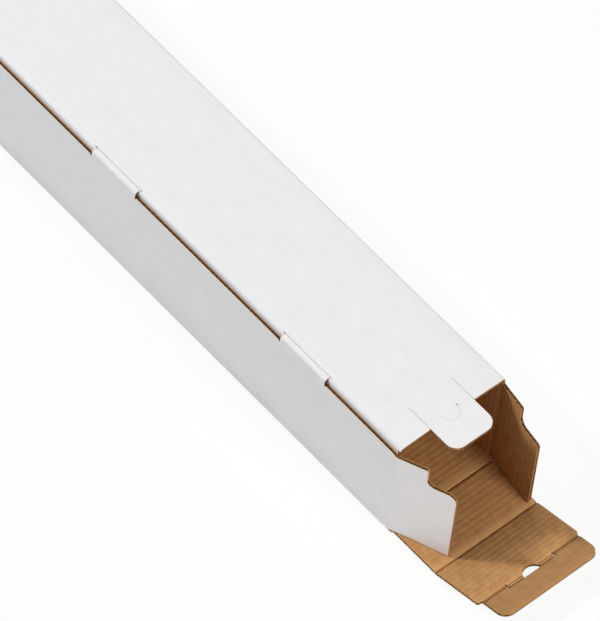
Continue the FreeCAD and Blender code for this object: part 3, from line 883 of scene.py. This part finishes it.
left_dust = layers([dust_outline(LEFT_CORNER)], dust_levels, [0], scored(0))
right_dust = layers([dust_outline(RIGHT_CORNER)], dust_levels, [0], scored(0))
lower_panel = layers(
    [strip(CREASE_1 - SEAM, CREASE_2 - SEAM, FLAP_HALF_WIDTH)],
    end_levels, [CREASE_1], scored(CREASE_1, CREASE_2), PRESSED_BANDS,
)
upper_panel = layers(
    [upper_outline()], end_levels, [CREASE_2], scored(CREASE_2, CREASE_3), PRESSED_BANDS,
)

tongue = layers(tongue_loops, tongue_levels, [TONGUE_CREASE])
flaps = [
    ("left_dust_flap", "board_flap", left_dust, dust_shape(-1, LEFT_TURN), "tube", 0),
    ("right_dust_flap", "board_flap", right_dust, dust_shape(1, RIGHT_TURN), "tube", 0),
    ("lid_tongue", "board_tongue", tongue, tongue_shape(), "tube", TONGUE_CREASE),
    ("end_flap_lower", "board_end_flap", lower_panel, end_flap_shape(), "tube", CREASE_1),
    ("end_flap_upper", "board_end_flap", upper_panel, end_flap_shape((CREASE_2, RISE)),
     "end_flap_lower", CREASE_2),
]
for node, slot_name, parts, shape, parent, crease in flaps:
    zones = PRESSED_BANDS if slot_name == "board_end_flap" else ()
    piece = add_piece(f"{node}_board", parts, shape, BOARD_LAYERS, zones)
    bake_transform(piece)
    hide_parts(node)

tuck_parts = layers(
    [tuck_outline(SLOT_OFFSET + SLIT_WIDTH)], end_levels, [CREASE_3],
    scored(CREASE_3, end=CREASE_3 + TUCK_LENGTH), PRESSED_BANDS,
)
tuck_shape = end_flap_shape((CREASE_2, RISE), (CREASE_3, TUCK_RISE))
tuck = add_piece("tuck_flap_board", tuck_parts, tuck_shape, TUCK_LAYERS, PRESSED_BANDS)
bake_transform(tuck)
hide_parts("tuck_flap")

closed_slot_edge = SLOT_OFFSET + BOARD + 2 * LAYER_GAP
ride_tube("closed_left_dust_flap", left_dust, at_far_end(dust_shape(-1, 90)))
ride_tube("closed_right_dust_flap", right_dust, at_far_end(dust_shape(1, 90)))
ride_tube("closed_end_flap_lower", lower_panel, at_far_end(end_flap_shape((CREASE_1, 90))))
ride_tube(
    "closed_end_flap_upper",
    layers([upper_outline()], end_levels, [], scored(CREASE_2, CREASE_3)),
    at_far_end(end_flap_shape((CREASE_1, 90))),
)
ride_tube(
    "closed_tuck_flap",
    layers([tuck_outline(closed_slot_edge)], end_levels, [CREASE_3]),
    at_far_end(end_flap_shape((CREASE_1, 90), (CREASE_3, 90))),
)
ride_tube(
    "closed_lid_tongue",
    layers(tongue_loops, tongue_levels, [0]),
    at_far_end(tongue_shape((0, 90))),
)

# --------------------------------------------------------------------- camera, floor and lighting

WHITE = (1, 1, 1, 1)
LENS, SENSOR = 463.8, 36
CAMERA_PLACE, CAMERA_TARGET, CAMERA_ROLL = (2.398, -2.789, 5.433), (-0.2087, 0.0299, 0), 7.442
FLOOR_SIZE = 120
FLOOR_GLOW = 0.86  # the share of the floor's look that is plain white. The rest is its lit colour
WORLD = 0.12  # how strongly the white world lights the object


def stand(name, data, place, target, roll=0):
    """A camera or a lamp at a place, turned to a target and rolled by some degrees."""
    turn = (Vector(target) - Vector(place)).to_track_quat("-Z", "Y")
    holder = bpy.data.objects.new(name, data)
    holder.location = place
    holder.rotation_euler = (turn @ Quaternion((0, 0, 1), math.radians(roll))).to_euler()
    bpy.context.scene.collection.objects.link(holder)
    return holder


def lamp(name, place, target, size, power, colour=(1, 1, 1)):
    """A square soft box that shines from a place towards a target."""
    light = bpy.data.lights.new(name, "AREA")
    light.size = size
    light.energy = power
    light.color = colour
    stand(name, light, place, target).visible_camera = False


def seen(add):
    """1 for the camera's rays, also through glass or in a mirror, and 0 for light on its way."""
    path = add("ShaderNodeLightPath")
    either = maths(
        add, "MAXIMUM", path.outputs["Is Camera Ray"], path.outputs["Is Transmission Ray"],
    )
    return maths(add, "MAXIMUM", either, path.outputs["Is Glossy Ray"])


camera = bpy.data.cameras.new("camera")
camera.sensor_width = SENSOR
camera.lens = LENS
camera.clip_start, camera.clip_end = 0.1, 200
bpy.context.scene.camera = stand("camera", camera, CAMERA_PLACE, CAMERA_TARGET, CAMERA_ROLL)

bpy.ops.mesh.primitive_plane_add(size=FLOOR_SIZE)
floor = bpy.context.object
floor.name = "floor"
material, add = new_material("pale_floor")
grain = add("ShaderNodeTexNoise", {"Scale": 40.0, "Detail": 3.0}).outputs["Fac"]
tone = mixed(add, grain, (0.93, 0.93, 0.93, 1), (0.95, 0.95, 0.95, 1))
diffuse = add("ShaderNodeBsdfDiffuse", {"Color": tone, "Roughness": 1.0}).outputs[0]
glow = add("ShaderNodeEmission", {"Color": WHITE, "Strength": 1.0}).outputs[0]
share = maths(add, "MULTIPLY", seen(add), FLOOR_GLOW)
both = add("ShaderNodeMixShader", {0: share, 1: diffuse, 2: glow}).outputs[0]
add("ShaderNodeOutputMaterial", {"Surface": both})
floor.data.materials.append(material)
floor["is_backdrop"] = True

world = bpy.data.worlds.new("studio")
bpy.context.scene.world = world
add = node_adder(world)
soft = add("ShaderNodeBackground", {"Color": WHITE, "Strength": WORLD}).outputs[0]
white = add("ShaderNodeBackground", {"Color": WHITE, "Strength": 1.0}).outputs[0]
both = add("ShaderNodeMixShader", {0: seen(add), 1: soft, 2: white}).outputs[0]
add("ShaderNodeOutputWorld", {"Surface": both})

lamp("key", (-3.48, -2.6, 3.9), (-0.1, 0, 0.05), 0.6, 146)
lamp("front", (1.9, 0.15, 0.95), (0, 0, 0.05), 0.8, 30, (1, 0.94, 0.85))
lamp("top", (-1.0, 0.2, 2.2), (-0.2, 0, 0), 1.4, 20)

bpy.context.scene.view_settings.view_transform = "Standard"

low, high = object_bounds()
